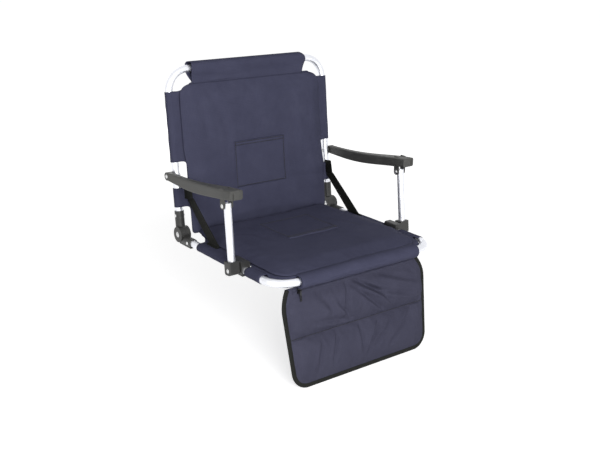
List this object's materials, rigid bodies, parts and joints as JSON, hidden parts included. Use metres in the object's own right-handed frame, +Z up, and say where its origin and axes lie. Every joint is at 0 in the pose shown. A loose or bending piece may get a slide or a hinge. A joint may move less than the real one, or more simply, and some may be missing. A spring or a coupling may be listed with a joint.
{
  "type": "folding stadium seat",
  "caption": "Folding stadium seat: padded sling back and seat on bent tube frames, level armrests on pivoting posts, recline straps and a hanging zipped front flap.",
  "frame": {"origin": "on the bench plane, midway between the rear hinges and straight under their axis", "axes": "+Z up from the bench, the sitter faces -Y, +X to the right as seen from the front"},
  "size_m": [0.5718, 0.5123, 0.6978],
  "materials": {
    "aluminium_tube": "satin anodised",
    "steel_rivet": "zinc plated",
    "black_plastic": "moulded, fine grain",
    "armrest_plastic": "moulded, satin",
    "seat_fabric": "woven polyester",
    "black_webbing": "woven tape",
    "zipper_metal": "black enamel"
  },
  "bodies": {
    "seat": {"seat_frame_tube": "aluminium_tube", "left_hinge_seat_knuckle": "black_plastic", "right_hinge_seat_knuckle": "black_plastic", "hinge_pins": "steel_rivet", "seat_socket_rivets": "steel_rivet", "post_rivets": "steel_rivet", "left_seat_clamp": "black_plastic", "right_seat_clamp": "black_plastic", "seat_sling": "seat_fabric", "front_sleeve": "seat_fabric", "seat_pad": "seat_fabric", "seat_pocket": "seat_fabric", "crease_gusset": "seat_fabric", "left_recline_strap": "black_webbing", "right_recline_strap": "black_webbing"},
    "back": {"back_frame_tube": "aluminium_tube", "left_hinge_back_knuckle": "black_plastic", "right_hinge_back_knuckle": "black_plastic", "back_socket_rivets": "steel_rivet", "armrest_rear_rivets": "steel_rivet", "armrest_spacers": "black_plastic", "back_sling": "seat_fabric", "top_sleeve": "seat_fabric", "back_pad": "seat_fabric", "back_pocket": "seat_fabric"},
    "left_post": {"left_arm_post": "aluminium_tube", "left_post_boot": "black_plastic"},
    "right_post": {"right_arm_post": "aluminium_tube", "right_post_boot": "black_plastic"},
    "left_arm": {"left_armrest": "armrest_plastic", "left_armrest_front_rivet": "steel_rivet"},
    "right_arm": {"right_armrest": "armrest_plastic", "right_armrest_front_rivet": "steel_rivet"},
    "flap": {"flap_panel": "seat_fabric", "flap_binding": "black_webbing", "flap_zipper": "black_webbing"},
    "slider": {"zipper_slider": "zipper_metal"},
    "pull": {"zipper_pull": "zipper_metal"}
  },
  "joints": [
    {"name": "back_fold", "type": "hinge", "parent": "seat", "child": "back", "pos_m": [0, 0, 0.024], "axis": [1, 0, 0], "range_deg": [0, 76], "deforming": ["left_recline_strap", "right_recline_strap", "crease_gusset"]},
    {"name": "left_post_fold", "type": "hinge", "parent": "seat", "child": "left_post", "pos_m": [0, -0.28, 0.0165], "axis": [1, 0, 0], "range_deg": [0, 76]},
    {"name": "right_post_fold", "type": "hinge", "parent": "seat", "child": "right_post", "pos_m": [0, -0.28, 0.0165], "axis": [1, 0, 0], "range_deg": [0, 76]},
    {"name": "left_armrest_level", "type": "hinge", "parent": "back", "child": "left_arm", "pos_m": [0, 0.0229, 0.17493], "axis": [1, 0, 0], "range_deg": [-76, 0]},
    {"name": "right_armrest_level", "type": "hinge", "parent": "back", "child": "right_arm", "pos_m": [0, 0.0229, 0.17493], "axis": [1, 0, 0], "range_deg": [-76, 0]},
    {"name": "flap_swing", "type": "hinge", "parent": "seat", "child": "flap", "pos_m": [0, -0.4, -0.008], "axis": [-1, 0, 0], "range_deg": [-95, 30]},
    {"name": "zipper_slide", "type": "slide", "parent": "flap", "child": "slider", "axis": [1, 0, 0], "range_m": [0, 0.344]},
    {"name": "zipper_pull_swing", "type": "hinge", "parent": "slider", "child": "pull", "pos_m": [-0.172, -0.4106, -0.01629], "axis": [-1, 0, 0], "range_deg": [0, 60]}
  ],
  "couplings": [
    {"joint": "left_post_fold", "follows": "back_fold", "ratio": 1},
    {"joint": "right_post_fold", "follows": "back_fold", "ratio": 1},
    {"joint": "left_armrest_level", "follows": "back_fold", "ratio": -1},
    {"joint": "right_armrest_level", "follows": "back_fold", "ratio": -1}
  ]
}
